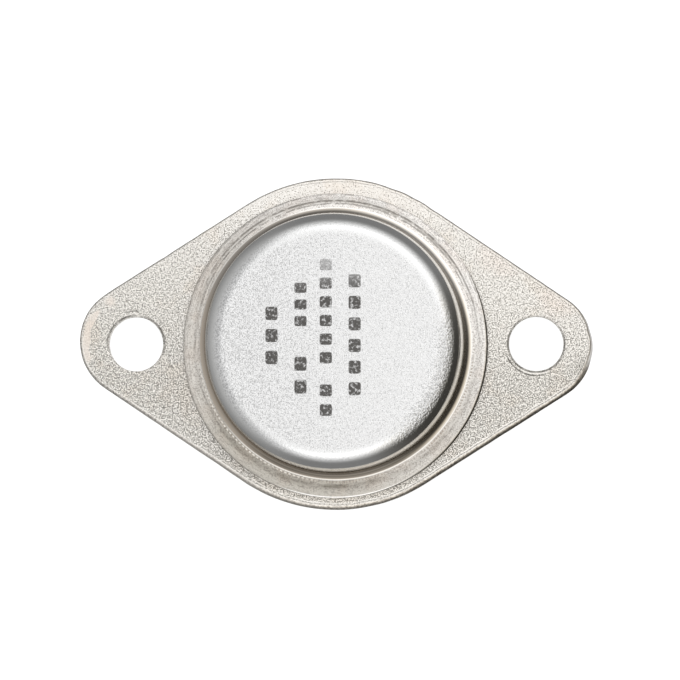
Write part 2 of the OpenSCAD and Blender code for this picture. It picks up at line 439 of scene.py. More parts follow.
def make_can():
    """The closed can of drawn sheet: its outside, its hollow and the brim's seat between them."""
    shell = Shell()
    turns = np.linspace(0, TURN, CAN_SEGMENTS, endpoint=False)
    edges = [brim_edge(a) for a in turns]
    brim_start = can_outer_profile()[BRIM_ROWS][0]

    def point(a, r, z):
        """A point on the can. The drawn part and the brim's edge have axes of their own."""
        share = smooth(r, brim_start, BRIM_R - BRIM_EDGE_MAX)
        shift = [near + (far - near) * share for near, far in zip(CAN_SHIFT, BRIM_SHIFT)]
        return (r * math.cos(a) + shift[0], r * math.sin(a) + shift[1], z)

    def ring(r, z, relief=False):
        return shell.row(point(a, r, z + (brim_relief(r, a) if relief else 0)) for a in turns)

    def edge_ring(tilt):
        return shell.row(point(a, BRIM_R - edge * (1 - math.cos(tilt)),
                               BRIM_Z - edge * (1 - math.sin(tilt)))
                         for a, edge in zip(turns, edges))

    outer = [ring(BRIM_R - 0.03 * MM, PLATE_T), ring(BRIM_R, PLATE_T + 0.04 * MM)]
    outer += [edge_ring(tilt) for tilt in quarter_turn(6)]
    outer += [ring(r, z, z < BRIM_Z + 0.02 * MM) for r, z in can_outer_profile()]
    shell.bands(outer)
    shell.cone(outer[-1], shell.row([point(0, 0, CAN_TOP)])[0])
    inner = [ring(r, z) for r, z in can_inner_profile()]
    shell.bands(inner)
    shell.cone(inner[-1], shell.row([point(0, 0, CAN_TOP - SHEET_T)])[0])
    shell.band(outer[0], inner[0])
    return shell.piece("can", 60)


# ---- leads ----

LEAD_SEGMENTS = 40


def lead_profile():
    """(radius, height) from the free end up to the rim of the flat head."""
    tip = COAT_R * 0.8
    profile = [(tip * math.sin(a) + (COAT_R - tip) * 0.9, LEAD_END + tip * (1 - math.cos(a)))
               for a in quarter_turn(8)]
    coat_end = COAT_TOP - 0.1 * MM
    profile += [(COAT_R, z) for z in np.linspace(LEAD_END + tip, coat_end, 24)[1:]]
    profile += [(BARE_R + 0.01 * MM, -0.7 * MM), (BARE_R, -0.5 * MM), (BARE_R, 0),
                (BARE_R, HEAD_Z - HEAD_T - 0.05 * MM), (BARE_R + 0.05 * MM, HEAD_Z - HEAD_T),
                (HEAD_R - 0.08 * MM, HEAD_Z - HEAD_T), (HEAD_R, HEAD_Z - HEAD_T * 0.8),
                (HEAD_R, HEAD_Z - HEAD_T * 0.3), (HEAD_R - 0.08 * MM, HEAD_Z)]
    return profile


def make_lead(name, x, y):
    """A lead with the slightly uneven coat that dipping in solder leaves."""
    shell = Shell()
    turns = np.linspace(0, TURN, LEAD_SEGMENTS, endpoint=False)

    def ring(r, z):
        coated = z < COAT_TOP
        points = []
        for a in turns:
            thin = 0.012 * MM * (1 + ripple(math.cos(a) * MM, math.sin(a) * MM, z + y, 1.6 * MM))
            reach = r - (thin if coated else 0)
            points.append((x + reach * math.cos(a), y + reach * math.sin(a), z))
        return shell.row(points)

    rows = [ring(r, z) for r, z in lead_profile()]
    shell.bands(rows)
    shell.cone(rows[0], shell.row([(x, y, LEAD_END)])[0])
    shell.cone(rows[-1], shell.row([(x, y, HEAD_Z)])[0])
    return shell.piece(name, 50)


# ---- shader building ----

class Paint:
    """One material's node tree, with a short call for each kind of node. Its colour is built
    up in coats."""

    def __init__(self, name, **shader_values):
        self.material = bpy.data.materials.new(name)
        self.material.use_nodes = True
        self.tree = self.material.node_tree
        self.shader = self.tree.nodes["Principled BSDF"]
        self.output = self.tree.nodes["Material Output"]
        for socket, value in shader_values.items():
            self.shader.inputs[socket.replace("_", " ")].default_value = value
        place = self.node("TexCoord").outputs["Object"]
        self.place = self.vector("SCALE", place, scale=1 / MM)
        self.x, self.y, self.z = self.node("SeparateXYZ", {0: self.place}).outputs
        self.colour = (1.0, 1.0, 1.0)

    def node(self, kind, inputs=None, **settings):
        made = self.tree.nodes.new("ShaderNode" + kind)
        for name, value in settings.items():
            setattr(made, name, value)
        for key, value in (inputs or {}).items():
            self.feed(made.inputs[key], value)
        return made

    def feed(self, socket, value):
        """Links a socket, or sets it where the value is plain."""
        if isinstance(value, bpy.types.NodeSocket):
            self.tree.links.new(value, socket)
        else:
            socket.default_value = value

    def use(self, socket, value):
        self.feed(self.shader.inputs[socket], value)

    def vector(self, operation, a, scale=1.0):
        made = self.node("VectorMath", {0: a}, operation=operation)
        if operation == "SCALE":
            self.feed(made.inputs["Scale"], scale)
        return made.outputs[1 if operation == "LENGTH" else 0]

    def math(self, operation, a, b=0.0, c=0.0):
        return self.node("Math", {0: a, 1: b, 2: c}, operation=operation).outputs[0]

    def combine(self, x, y, z):
        return self.node("CombineXYZ", {0: x, 1: y, 2: z}).outputs[0]

    def noise(self, scale, detail=2.0, rough=0.5, place=None):
        """Noise with about this many bumps a millimetre."""
        return self.node("TexNoise", {"Vector": place or self.place, "Scale": scale,
                                      "Detail": detail, "Roughness": rough}).outputs[0]

    def cells(self, scale):
        """How far a point is from the middle of its cell, with this many cells a millimetre."""
        made = self.node("TexVoronoi", {"Vector": self.place, "Scale": scale})
        return made.outputs["Distance"]

    def fade(self, value, low, high, start=0.0, end=1.0):
        """Start below low, end above high, and a smooth change between them."""
        return self.node("MapRange", {0: value, 1: low, 2: high, 3: start, 4: end},
                         interpolation_type="SMOOTHSTEP").outputs[0]

    def fall(self, value, low, high):
        """1 below low, falling smoothly to 0 above high."""
        return self.fade(value, low, high, 1.0, 0.0)

    def ramp(self, value, stops):
        """Colours by value: stops are (place, (red, green, blue))."""
        made = self.node("ValToRGB", {0: value})
        elements = made.color_ramp.elements
        while len(elements) < len(stops):
            elements.new(0.5)
        for element, (place, colour) in zip(elements, stops):
            element.position = place
            element.color = (*colour, 1)
        return made.outputs[0]

    def mix(self, share, a, b, blend="MIX"):
        colour = [(*c, 1) if isinstance(c, tuple) else c for c in (a, b)]
        return self.node("Mix", {0: share, 6: colour[0], 7: colour[1]}, data_type="RGBA",
                         blend_type=blend).outputs[2]

    def coat(self, colour, *masks):
        """Lays a colour over the one so far, by the product of the masks."""
        self.colour = self.mix(self.both(*masks), self.colour, colour)

    def tint(self, colour, *masks):
        """Multiplies the colour so far by another, by the product of the masks."""
        self.colour = self.mix(self.both(*masks), self.colour, colour, "MULTIPLY")

    def bump(self, height, depth, strength=1.0, normal=None):
        """A bumpy normal, where depth is in millimetres."""
        inputs = {"Height": height, "Distance": depth * MM, "Strength": strength}
        if normal:
            inputs["Normal"] = normal
        return self.node("Bump", inputs).outputs[0]

    def from_axis(self, x, y):
        """The level vector from an upright axis to a point, in millimetres."""
        return self.combine(self.math("SUBTRACT", self.x, x), self.math("SUBTRACT", self.y, y), 0)

    def radius(self, x=0.0, y=0.0):
        """Distance from an upright axis, in millimetres."""
        return self.vector("LENGTH", self.from_axis(x, y))

    def toward(self, degrees, x=0.0):
        """1 in one direction from an upright axis, 0 at a right angle to it and -1 opposite.
        The right is at 0 degrees and the back at 90."""
        turn = math.radians(degrees)
        unit = self.vector("NORMALIZE", self.from_axis(x, 0.0))
        made = self.node("VectorMath", {0: unit, 1: (math.cos(turn), math.sin(turn), 0)},
                         operation="DOT_PRODUCT")
        return made.outputs["Value"]

    def side(self, degrees, low, high, start=0.0, end=1.0, x=0.0):
        """A fade toward one direction from an upright axis."""
        return self.fade(self.toward(degrees, x), low, high, start, end)

    def line(self, value, middle, width):
        """1 where a value is at the middle, falling to 0 one width away on both sides."""
        away = self.math("ABSOLUTE", self.math("SUBTRACT", value, middle))
        return self.fall(away, 0.0, width)

    def both(self, *masks):
        """The product of several masks."""
        share = masks[0]
        for mask in masks[1:]:
            share = self.math("MULTIPLY", share, mask)
        return share

    def sum(self, *parts):
        """The sum of (value, weight) pairs."""
        total = 0.0
        for value, weight in parts:
            total = self.math("MULTIPLY_ADD", value, weight, total)
        return total


# ---- materials: header plate ----

# Middles of places on the plate in millimetres: a spot of painted shade beside the can's brim,
# a polished one at the left end, the worn right end and its burr
BRIM_SHADE_SPOT = (-7.0, -9.0)
POLISHED_SPOT = (-17.0, 3.3)
WORN_END = (19.3, -2.2)
BURR = (19.4, 0.3)
# Pinkish patches along the back edge: where, and how far they reach
PINK_PATCHES = [(12.6, 7.0, 2.6), (16.9, 3.4, 2.0)]


def plate_metal():
    """Nickel plate over stamped steel with an etched grain."""
    paint = Paint("plate_nickel")
    coarse = paint.noise(4.5, 2.0, 0.6)
    fine = paint.noise(11.0, 1.0, 0.6)
    grain = paint.sum((coarse, 0.52), (fine, 1.65), (1.0, -0.585))
    paint.colour = etched_colour(paint, grain)
    paint.coat((0.93, 0.86, 0.80), worn_patch(paint), 0.7)
    paint.tint((0.97, 0.92, 0.87), paint.fade(paint.noise(0.4, 3.0), 0.50, 0.66), 0.5)
    edge_tints(paint)
    burnish_and_highlight, burr = rolled_edge(paint, coarse)
    hole_marks_and_rim_shade(paint)
    paint.tint((1.0, 0.988, 0.968), 1.0)
    paint.use("Base Color", paint.colour)
    paint.use("Metallic", paint.sum((burr, -0.8), (1.0, 1.0)))
    worn_end = paint.fade(paint.radius(*WORN_END), 0.9, 1.8, 0.22, 0.0)
    paint.use("Roughness", paint.sum((paint.fade(grain, 0.3, 0.7, 0.42, 0.28), 1.0),
                                     (worn_end, 1.0)))
    paint.use("Normal", paint.bump(grain, 0.011, paint.sum((burnish_and_highlight, -0.8), (1.0, 1.0))))
    return paint.material


def etched_colour(paint, grain):
    """The grain's colours, darker to the front but for its very edge, and paler to the right, with a
    spot of painted shade beside the can's brim at the front left.
    """
    right = paint.both(paint.fade(paint.x, -2.0, 9.0), paint.fade(paint.y, -4.0, 1.0))
    back = paint.math("MAXIMUM", paint.math("MULTIPLY", paint.y, 0.0095), -0.025)
    # painted shade in a spot beside the can's brim at the front left
    brim_shade = paint.fall(paint.radius(*BRIM_SHADE_SPOT), 1.0, 4.5)
    tone_and_shade = paint.sum((back, 1.0), (right, 0.035), (paint.fade(paint.y, 8.0, 12.0), 0.115),
                       (paint.fade(paint.y, -11.0, -12.2), 0.05), (brim_shade, -0.04))
    tone = paint.sum((grain, 1.0), (tone_and_shade, 1.0), (1.0, 0.020))
    return paint.ramp(tone, [(0.34, (0.24, 0.23, 0.215)), (0.44, (0.50, 0.485, 0.46)),
                             (0.52, (0.69, 0.67, 0.635)), (0.60, (0.88, 0.86, 0.82)),
                             (0.70, (1.0, 0.985, 0.96))])


def edge_tints(paint):
    """Pinkish metal along the back edge, mostly on the right, and yellowish along the front."""
    paint.tint((1.0, 0.985, 0.975), paint.fade(paint.y, 8.0, 11.5), paint.fade(paint.x, -6.0, 0.0))
    for x, y, reach in PINK_PATCHES:
        patch = paint.sum((paint.radius(x, y), 1.0), (paint.noise(0.8, 3.0), 2.0), (1.0, -1.0))
        paint.tint((1.0, 0.955, 0.935), paint.fade(patch, reach * 0.4, reach, 0.8, 0.0))
    paint.tint((1.0, 0.985, 0.965), paint.fade(paint.y, -9.0, -11.5))


def worn_patch(paint):
    """A crescent along the left end that handling has polished, and a spot behind it."""
    ragged = paint.noise(1.3, 3.0)
    from_hole = paint.sum((paint.radius(-HOLE_X / MM), 1.0), (ragged, 0.5))
    crescent = paint.both(paint.line(from_hole, LOBE_R / MM - 0.22, 0.42),
                          paint.side(169, 0.80, 0.94, x=-HOLE_X / MM))
    from_spot = paint.sum((paint.radius(*POLISHED_SPOT), 1.0), (ragged, 0.6))
    return paint.math("MAXIMUM", paint.fade(crescent, 0.1, 0.5),
                      paint.fall(from_spot, 0.4, 0.9))


def rolled_edge(paint, coarse):
    """Coats along the rolled edge, placed by the mesh's marks: the right end has a pale burr
    outside a dark seam. Returns how burnished a place is and how much of it is burr."""
    mark = paint.node("Attribute", attribute_name="mark").outputs["Fac"]
    wobble = paint.sum((mark, 1.0), (paint.noise(1.2, 3.0), 0.10), (1.0, -0.05))
    patchy = paint.fade(paint.noise(0.7, 2.0), 0.40, 0.56, 0.6, 1.0)
    burnish_and_highlight = burnish_and_highlight_lines(paint, wobble, patchy)
    mottled_strip(paint, mark, coarse)
    end = paint.fall(paint.radius(*BURR), 1.3, 2.8)
    burr = paint.both(end, paint.fall(mark, -0.12, -0.06))
    paint.coat((0.95, 0.94, 0.92), burr)
    paint.coat((0.28, 0.265, 0.25), end, paint.line(wobble, -0.03, 0.07), patchy, 0.8)
    return burnish_and_highlight, burr


def burnish_and_highlight_lines(paint, wobble, patchy):
    """Two lines just past the rolled edge, burnished and painted as highlights, clearest at the
    front, and toward the right a dark line between them. Returns how burnished a place is."""
    front = paint.fade(paint.sum((paint.y, 1.0), (paint.x, 0.1)), -6, 5, 1.0, 0.25)
    first = paint.line(wobble, 0.025, 0.08)
    second = paint.both(paint.line(wobble, 0.20, 0.08), paint.fade(paint.x, -8.0, -2.0, 0.15, 1.0))
    burnish_and_highlight = paint.both(paint.math("MAXIMUM", first, second), front, patchy)
    # painted highlight along the two burnished lines past the rolled edge
    paint.coat((1.0, 0.985, 0.95), burnish_and_highlight)
    paint.coat((0.36, 0.34, 0.32), paint.line(wobble, 0.115, 0.05), patchy,
               paint.fade(paint.x, -8.0, 0.0), 0.7)
    return burnish_and_highlight


def mottled_strip(paint, mark, coarse):
    """The rolled edge itself, paler and more mottled to the right and front."""
    rolled = paint.fall(mark, -0.02, 0.04)
    lit = paint.fade(paint.sum((paint.x, 0.5), (paint.y, -0.6)), -8.0, 0.0, 0.1, 0.7)
    paint.coat((0.98, 0.95, 0.91), rolled, lit)
    mottle = paint.ramp(coarse, [(0.38, (0.60, 0.57, 0.53)), (0.6, (1.0, 0.98, 0.94))])
    paint.tint(mottle, rolled, paint.fade(paint.x, -12.0, 4.0, 0.2, 1.0),
               paint.fade(paint.y, 0.0, 4.0, 1.0, 0.4))


def hole_marks_and_rim_shade(paint):
    """Painted shade in crescents on the left hole's rounded rim, and a scratched arc at that hole;
    a pressed ring at the right one, and painted shade round its rim. Each mark is a line some
    way past the hole's edge."""
    dark = (0.11, 0.105, 0.095)
    light = (0.97, 0.95, 0.92)
    at = HOLE_X / MM
    left = paint.math("SUBTRACT", paint.radius(-at), HOLE_R / MM)
    right = paint.math("SUBTRACT", paint.radius(at), HOLE_R / MM)
    broken = paint.fade(paint.noise(1.6, 2.0), 0.36, 0.56, 0.6, 1.0)
    behind = paint.side(97, 0.965, 0.99, x=-at)
    paint.coat(dark, paint.line(left, 0.45, 0.08), behind, 0.8)
    paint.coat(light, paint.line(left, 0.24, 0.08), behind, 0.8)
    # painted shade in crescents where the left hole's rounded rim turns down
    for degrees, reach in ((138, 0.55), (30, 0.50)):
        aside = paint.side(degrees, reach, 0.95, x=-at)
        paint.coat(dark, paint.line(left, 0.115, 0.12), aside, broken)
    front = paint.side(265, 0.80, 0.95, x=at)
    paint.coat(light, paint.line(right, 0.19, 0.10), front, 0.9)
    front_left = paint.side(243, 0.62, 0.85, x=at)
    paint.coat(dark, paint.line(right, 0.335, 0.09), front_left, broken)
    # painted shade round the right hole's rounded rim, fainter behind
    fainter_behind = paint.side(78, 0.3, 0.97, 1.0, 0.25, x=at)
    paint.coat(dark, paint.line(right, 0.095, 0.09), fainter_behind, broken)


# ---- materials: can ----

# Radii on the can in millimetres: where its top starts to bend, where the shoulder catches
# the light, where the bend at the foot ends, and the middle of the weld
BEND = 7.9
CREST = 8.4
BRIM = 10.15
WELD = 10.72
# Tints of the bend at the foot: toward which side, where the fade starts and ends, the colour
FOOT_TINTS = [(150, 0.2, 0.8, (0.46, 0.42, 0.375)), (195, 0.7, 0.95, (0.57, 0.50, 0.42)),
              (250, 0.6, 0.95, (0.58, 0.505, 0.42)), (35, 0.6, 0.95, (0.98, 0.93, 0.86))]
# Rings beside the weld: radius, width and strength
DARK_RINGS = [(10.54, 0.08, 0.8), (10.77, 0.11, 0.9), (11.23, 0.07, 0.6)]
BRIGHT_RINGS = [(10.65, 0.05, 0.3), (10.89, 0.07, 0.3)]
# The electrode's small marks, by how many would go round the brim
TICKS_ROUND = 264
BEADS_ROUND = 190


def can_metal():
    """Nickel plate over drawn steel: finely grained on top, smooth where the metal was drawn,
    and stained round the weld on the brim."""
    paint = Paint("can_nickel", Metallic=1.0)
    r = paint.radius()
    top = paint.fall(r, 8.6, 9.1)
    grain = paint.sum((paint.noise(4.5, 2.0, 0.6), 0.4), (paint.noise(10.0, 1.0, 0.6), 0.7),
                      (1.0, -0.05))
    polish_and_highlight = shoulder_polish_and_highlight(paint, r)
    brim = brim_colour(paint, r, grain)
    paint.colour = top_colour(paint, r, grain, top)
    # painted highlight on the shoulder at the front and the back, where it is also polished
    paint.coat((0.90, 0.90, 0.895), polish_and_highlight, 0.85)
    paint.coat((0.055, 0.05, 0.045), ink_marks(paint))
    wall_highlight_and_shade(paint)
    foot_tints_and_shade(paint, r)
    paint.coat(brim, paint.fade(r, BRIM, BRIM + 0.10))
    paint.use("Base Color", paint.colour)
    bent = paint.both(paint.fade(r, BEND, BEND + 0.4), top)
    paint.use("Roughness", paint.sum((top, 0.10), (bent, -0.08), (1.0, 0.17)))
    rough = paint.sum((top, 1.0), (bent, -0.7), (paint.both(polish_and_highlight, top), -0.2),
                      (paint.fade(r, BRIM, BRIM + 0.15, 0.06, 0.5), 1.0))
    paint.use("Normal", paint.bump(grain, 0.018, rough, shoulder_bumps(paint, r)))
    return paint.material


def top_colour(paint, r, grain, top):
    """The grained top, with more contrast to the left and on the shoulder's front right, and
    the smooth metal beyond it."""
    left = paint.fall(paint.x, -8.0, 3.0)
    speckled = paint.both(paint.fade(r, 7.0, CREST), paint.side(-22, 0.8, 1.0))
    contrast = paint.sum((left, 1.05), (speckled, 2.2))
    uneven = paint.both(contrast, paint.math("SUBTRACT", grain, 0.5))
    tone = paint.sum((grain, 1.0), (uneven, 1.0), (left, -0.03), (speckled, 0.05))
    grained = paint.ramp(tone, [(0.32, (0.55, 0.55, 0.55)), (0.44, (0.78, 0.78, 0.78)),
                                (0.54, (0.84, 0.84, 0.84)), (0.66, (0.90, 0.90, 0.90))])
    smooth_metal = paint.ramp(grain, [(0.3, (0.80, 0.80, 0.79)), (0.7, (0.86, 0.86, 0.85))])
    return paint.mix(top, smooth_metal, grained)


def shoulder_polish_and_highlight(paint, r):
    """Where the shoulder is lighter at the front and the back: a painted highlight, and polish
    from handling that also smooths its bumps.
    """
    ends = paint.math("MAXIMUM", paint.side(258, 0.6, 0.9), paint.side(80, 0.4, 0.85))
    return paint.both(paint.fade(r, BEND, CREST), paint.fall(r, CREST, 9.0), ends)


def shoulder_bumps(paint, r):
    """Coarser bumps on the shoulder, strongest at the front right."""
    side = paint.sum((paint.side(-22, 0.7, 0.98, 0.10, 1.0), 1.0),
                     (paint.side(185, 0.6, 0.95, 0.0, 0.18), 1.0))
    shoulder = paint.both(paint.fade(r, 7.2, CREST), paint.fall(r, 8.8, 9.2), side)
    return paint.bump(paint.noise(7.0, 2.0, 0.6), 0.09, shoulder)


def wall_highlight_and_shade(paint):
    """A painted highlight on the wall at the front, and painted shade under the left shoulder."""
    top = CAN_TOP / MM
    # painted highlight on the front of the wall
    paint.coat((0.98, 0.97, 0.95), paint.fall(paint.z, top - 1.9, top - 1.3),
               paint.side(-85, 0.3, 0.8))
    # painted shade on the upper wall under the left shoulder
    paint.coat((0.16, 0.16, 0.155), paint.fall(paint.z, top - 1.4, top - 0.2),
               paint.side(180, 0.35, 0.7))


def foot_tints_and_shade(paint, r):
    """The bend at the can's foot, tinted by direction. A line of painted shade runs along the
    crease at its start on the right and along its end at the front."""
    start = (BRIM_Z + FILLET_R) / MM
    foot = (0.74, 0.68, 0.60)
    for degrees, low, high, tone in FOOT_TINTS:
        foot = paint.mix(paint.side(degrees, low, high), foot, tone)
    paint.coat(foot, paint.fall(paint.z, start - 0.15, start + 0.25))
    # painted shade along the crease where the bend meets the wall, on the right
    paint.coat((0.25, 0.23, 0.20), paint.line(paint.z, start + 0.09, 0.24),
               paint.side(-25, 0.6, 0.95), 0.5)
    # painted shade along the end of the bend at the front
    paint.coat((0.13, 0.115, 0.095), paint.fade(r, BRIM - 0.25, BRIM - 0.16),
               paint.fall(r, BRIM - 0.02, BRIM + 0.05), paint.side(272, 0.6, 0.93), 0.85)


def brim_colour(paint, r, grain):
    """Satin nickel with the weld's marks, and an edge with painted shade on the right and a painted
    highlight at the front. The weld and the edge share an axis of their own."""
    weld_r = paint.radius(BRIM_SHIFT[0] / MM, BRIM_SHIFT[1] / MM)
    patchy = paint.fade(paint.noise(0.6, 2.0), 0.35, 0.6, 0.4, 1.0)
    brim_satin(paint, r, grain)
    weld_stains(paint, r, weld_r, patchy)
    weld_rings(paint, r)
    weld_pits(paint, weld_r)
    electrode_ticks(paint, r, patchy)
    edge = BRIM_R / MM
    # painted shade under the brim's edge on the right
    paint.coat((0.12, 0.11, 0.10), paint.fade(weld_r, edge - 0.12, edge - 0.03),
               paint.side(-10, 0.7, 0.95), 0.9)
    # painted highlight on the brim's rounded edge at the front
    paint.coat((1.0, 0.98, 0.95), paint.side(-78, 0.80, 0.93),
               paint.line(weld_r, edge - 0.07, 0.08))
    return paint.colour


def brim_satin(paint, r, grain):
    """Satin nickel in long streaks with pinkish blotches, browner to the left and front."""
    light = paint.math("MAXIMUM", paint.side(55, -1, 1), paint.side(170, 0.6, 0.97, 0.0, 0.48))
    light = paint.math("MAXIMUM", light, paint.side(-35, 0.6, 0.97, 0.0, 0.45))
    paint.colour = paint.ramp(light, [(0.0, (0.48, 0.452, 0.40)), (0.5, (0.69, 0.66, 0.615)),
                                      (1.0, (0.89, 0.865, 0.83))])
    streak = paint.noise(1.0, 3.0, 0.6, around(paint, r, 14.0, 6.0))
    satin = paint.ramp(paint.sum((streak, 0.6), (grain, 1.2), (1.0, -0.4)),
                       [(0.36, (0.62, 0.605, 0.60)), (0.5, (0.93, 0.925, 0.92)),
                        (0.62, (1.0, 1.0, 1.0))])
    paint.tint(satin, 1.0)
    paint.tint((1.0, 0.95, 0.92), paint.fade(paint.noise(0.55, 2.0), 0.45, 0.62), 0.5)


def weld_stains(paint, r, weld_r, patchy):
    """The weld's ring, faint to the left and right, smoke behind it and cleaner metal in
    front of it."""
    across = paint.toward(90)
    less_sideways = paint.sum((paint.math("MULTIPLY", across, across), 0.75), (1.0, 0.25))
    paint.tint((0.58, 0.565, 0.54), paint.line(r, WELD, 0.33), patchy, less_sideways, 0.92)
    paint.tint((0.62, 0.61, 0.60), paint.line(r, WELD + 0.20, 0.42), paint.side(108, 0.5, 0.95), 0.4)
    paint.coat((0.72, 0.69, 0.63), paint.fade(weld_r, WELD + 0.03, WELD + 0.48),
               paint.side(-100, 0.1, 0.8), 0.3)


def weld_rings(paint, r):
    """Broken dark rings on the back half of the brim, and bright ones between them."""
    back = paint.side(85, 0.1, 0.6)
    broken = paint.fade(paint.noise(1.0, 2.0, 0.6, around(paint, r, 22.0, 8.0)), 0.40, 0.50)
    for rings, tone in ((DARK_RINGS, (0.20, 0.185, 0.17)), (BRIGHT_RINGS, (1.0, 0.98, 0.95))):
        for middle, width, strength in rings:
            paint.coat(tone, paint.line(r, middle, width), back, broken, strength)


def weld_pits(paint, weld_r):
    """Bright pits in darker metal, on the back right of the weld."""
    away = paint.cells(3.4)
    pitted = paint.both(paint.side(55, 0.90, 0.97), paint.line(weld_r, WELD, 0.25))
    paint.coat((0.35, 0.33, 0.30), pitted, paint.fade(away, 0.3, 0.5), 0.6)
    paint.coat((1.0, 1.0, 0.98), pitted, paint.fall(away, 0.10, 0.2))


def electrode_ticks(paint, r, patchy):
    """A bright stripe where the brim starts, dark ticks outside it on the front half and
    bright beads at the front left."""
    paint.coat((1.0, 0.97, 0.92), paint.line(r, BRIM + 0.07, 0.09),
               paint.side(188, 0.75, 0.95, 0.9, 0.1))
    turn = paint.math("ARCTAN2", paint.y, paint.x)
    tick = paint.fade(paint.math("SINE", paint.math("MULTIPLY", turn, TICKS_ROUND)), -0.2, 0.6)
    paint.coat((0.36, 0.31, 0.26), tick, paint.side(-80, -0.1, 0.4),
               paint.line(r, BRIM + 0.25, 0.11), patchy)
    bead = paint.fade(paint.math("SINE", paint.math("MULTIPLY", turn, BEADS_ROUND)), -0.5, 0.3)
    paint.coat((1.0, 0.95, 0.87), bead, paint.side(225, 0.75, 0.9), patchy,
               paint.line(r, BRIM + 0.23, 0.09), 0.8)


# Print on the can: for each column, its middle, its two ends and about how long a step is
PRINT_COLUMNS = [(1.60, -4.3, 5.3, 1.6), (-0.54, -5.8, -2.9, 1.45), (-0.54, -1.9, 6.4, 1.4),
                 (-2.42, -4.2, -0.8, 1.7), (-2.42, 0.9, 4.6, 1.25), (-4.57, -2.0, 2.9, 1.6)]
# Half a block's width in millimetres, and half its length as a share of its step
BLOCK_WIDTH = 0.46
BLOCK_LENGTH = 0.31


def ink_marks(paint):
    """Plain worn blocks of dark ink, which stand where the real part is printed."""
    ragged = paint.noise(4.0, 3.0, 0.6)
    ink = 0.0
    for column in PRINT_COLUMNS:
        ink = paint.math("MAXIMUM", ink, ink_column(paint, ragged, *column))
    worn = paint.fade(ragged, 0.34, 0.50, 0.3, 1.0)
    faded = paint.fade(paint.y, 3.5, 7.0, 1.0, 0.35)
    top = paint.math("GREATER_THAN", paint.z, (CAN_TOP - SHEET_T) / MM)
    return paint.both(ink, worn, faded, top, 0.92)


def ink_column(paint, ragged, middle, low, high, step):
    """A column of blocks with rounded corners and ragged edges."""
    count = round((high - low) / step)
    along = paint.math("DIVIDE", paint.math("SUBTRACT", paint.y, low), (high - low) / count)
    off_block = paint.math("ABSOLUTE", paint.math("SUBTRACT", paint.math("FRACT", along), 0.5))
    long = paint.math("DIVIDE", off_block, BLOCK_LENGTH)
    wide = paint.math("DIVIDE", paint.math("SUBTRACT", paint.x, middle), BLOCK_WIDTH)
    square = paint.math("ADD", paint.math("POWER", paint.math("ABSOLUTE", wide), 6.0),
                        paint.math("POWER", long, 6.0))
    edge = paint.sum((square, 1.0), (ragged, 1.2))
    off_column = paint.math("ABSOLUTE", paint.math("SUBTRACT", along, count / 2))
    inside = paint.math("LESS_THAN", off_column, count / 2)
    return paint.both(paint.fall(edge, 1.3, 1.8), inside)


def around(paint, r, turn_scale, radial_scale):
    """Coordinates that follow circles about the can's axis, with no seam."""
    return paint.combine(paint.math("MULTIPLY", paint.math("DIVIDE", paint.x, r), turn_scale),
                         paint.math("MULTIPLY", paint.math("DIVIDE", paint.y, r), turn_scale),
                         paint.math("MULTIPLY", r, radial_scale))


# ---- materials: the rest ----

def lead_metal():
    """Dull solder, faintly lumpy along the lead."""
    paint = Paint("lead_solder", Metallic=1.0)
    lump = paint.noise(1.4, 3.0)
    paint.use("Base Color", paint.ramp(lump, [(0.3, (0.50, 0.50, 0.50)),
                                              (0.6, (0.68, 0.68, 0.68))]))
    paint.use("Roughness", paint.fade(lump, 0.3, 0.7, 0.22, 0.42))
    paint.use("Normal", paint.bump(lump, 0.05))
    return paint.material


def seal_glass():
    """Dark sealing glass with small bubbles."""
    paint = Paint("seal_glass", Roughness=0.08, IOR=1.55)
    bubble = paint.fall(paint.cells(5.0), 0.08, 0.16)
    paint.use("Base Color", paint.mix(bubble, (0.03, 0.055, 0.05), (0.12, 0.16, 0.15)))
    paint.use("Normal", paint.bump(paint.math("SUBTRACT", 1.0, bubble), 0.02))
    return paint.material


def plain_metal(name, dark, light, rough, scale):
    """A metal with a fine mottled surface."""
    paint = Paint(name, Metallic=1.0)
    mottle = paint.noise(scale, 4.0, 0.6)
    paint.use("Base Color", paint.ramp(mottle, [(0.3, dark), (0.7, light)]))
    paint.use("Roughness", paint.fade(mottle, 0.3, 0.7, rough, rough + 0.15))
    paint.use("Normal", paint.bump(mottle, 0.01))
    return paint.material


def silicon():
    """Polished silicon, faintly uneven."""
    paint = Paint("silicon_die", Metallic=0.4, Roughness=0.12)
    tone = paint.noise(0.6, 2.0)
    paint.use("Base Color", paint.ramp(tone, [(0.3, (0.10, 0.11, 0.15)), (0.7, (0.16, 0.17, 0.22))]))
    return paint.material


# ---- pieces ----

def dress(piece, material, slot, *nodes):
    """Gives a new piece its material and ties it to the part."""
    piece.data.materials.append(material)
    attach(piece, "root")
    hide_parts(*nodes)


def repaint(material, *nodes):
    """Gives CAD nodes that stay in view a material."""
    for node in nodes:
        materials = frame["nodes"][node].data.materials
        materials.clear()
        materials.append(material)


dress(make_plate(), plate_metal(), "header_plate", "header_plate")
dress(make_can(), can_metal(), "cap", "cap")
lead_paint = lead_metal()
dress(make_lead("base_lead_wire", LEAD_X, LEAD_Y), lead_paint, "lead", "base_lead")
dress(make_lead("emitter_lead_wire", LEAD_X, -LEAD_Y), lead_paint, "lead", "emitter_lead")

